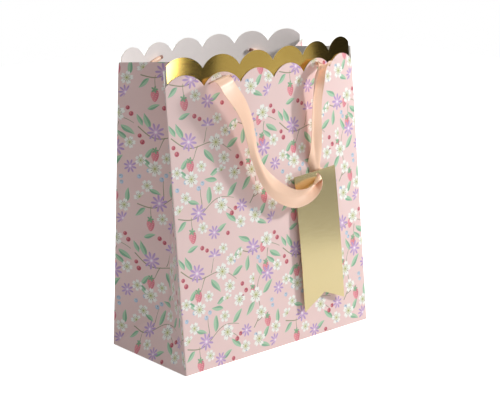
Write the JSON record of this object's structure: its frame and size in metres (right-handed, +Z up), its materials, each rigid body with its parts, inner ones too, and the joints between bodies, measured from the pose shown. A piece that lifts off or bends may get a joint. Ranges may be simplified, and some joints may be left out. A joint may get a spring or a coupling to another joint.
{
  "type": "gift bag",
  "caption": "Floral paper gift bag with scalloped mouth, gilded scalloped cards, folded gussets, two satin ribbon handles and a swallow-tailed hang tag.",
  "frame": {"origin": "middle of the base, on the standing face", "axes": "+Z up, front panel towards -Y, left gusset towards -X"},
  "size_m": [0.1994, 0.1082, 0.2434],
  "materials": {
    "printed_paper": null,
    "gilt_card": "mirror-gold foil on the outer face, grey-white uncoated card on the inner face",
    "grey_board": "plain uncoated board",
    "satin_ribbon": "peach satin weave with soft sheen",
    "gilt_tag": "mirror-gold foil card"
  },
  "bodies": {
    "bag": {"front_panel": "printed_paper", "back_panel": "printed_paper", "left_gusset_front_half": "printed_paper", "left_gusset_back_half": "printed_paper", "left_gusset_base_triangle": "printed_paper", "right_gusset_front_half": "printed_paper", "right_gusset_back_half": "printed_paper", "right_gusset_base_triangle": "printed_paper", "bottom_flap_front": "printed_paper", "bottom_flap_back": "printed_paper", "bottom_flap_left": "printed_paper", "bottom_flap_right": "printed_paper", "side_seam_flap": "printed_paper", "front_gilt_card": "gilt_card", "back_gilt_card": "gilt_card", "front_ribbon_end_left": "satin_ribbon", "front_ribbon_end_right": "satin_ribbon", "back_ribbon_end_left": "satin_ribbon", "back_ribbon_end_right": "satin_ribbon"},
    "loose_base": {"base_board": "grey_board"},
    "front_handle": {"front_ribbon_loop": "satin_ribbon"},
    "back_handle": {"back_ribbon_loop": "satin_ribbon"},
    "tag": {"hang_tag": "gilt_tag"}
  },
  "joints": [
    {"name": "front_handle_swing", "type": "hinge", "parent": "bag", "child": "front_handle", "pos_m": [0, -0.04123, 0.226], "axis": [-1, 0, 0], "range_deg": [0, 165]},
    {"name": "tag_hang", "type": "hinge", "parent": "front_handle", "child": "tag", "pos_m": [0.0409, -0.0443, 0.1363], "axis": [-1, 0, 0], "range_deg": [-165, 0]},
    {"name": "back_handle_swing", "type": "hinge", "parent": "bag", "child": "back_handle", "pos_m": [0, 0.05464, 0.226], "axis": [1, 0, 0], "range_deg": [0, 165]},
    {"name": "base_board_lift", "type": "slide", "parent": "bag", "child": "loose_base", "axis": [0, 0, 1], "range_m": [0, 0.004]}
  ],
  "couplings": [
    {"joint": "tag_hang", "follows": "front_handle_swing", "ratio": -1}
  ]
}
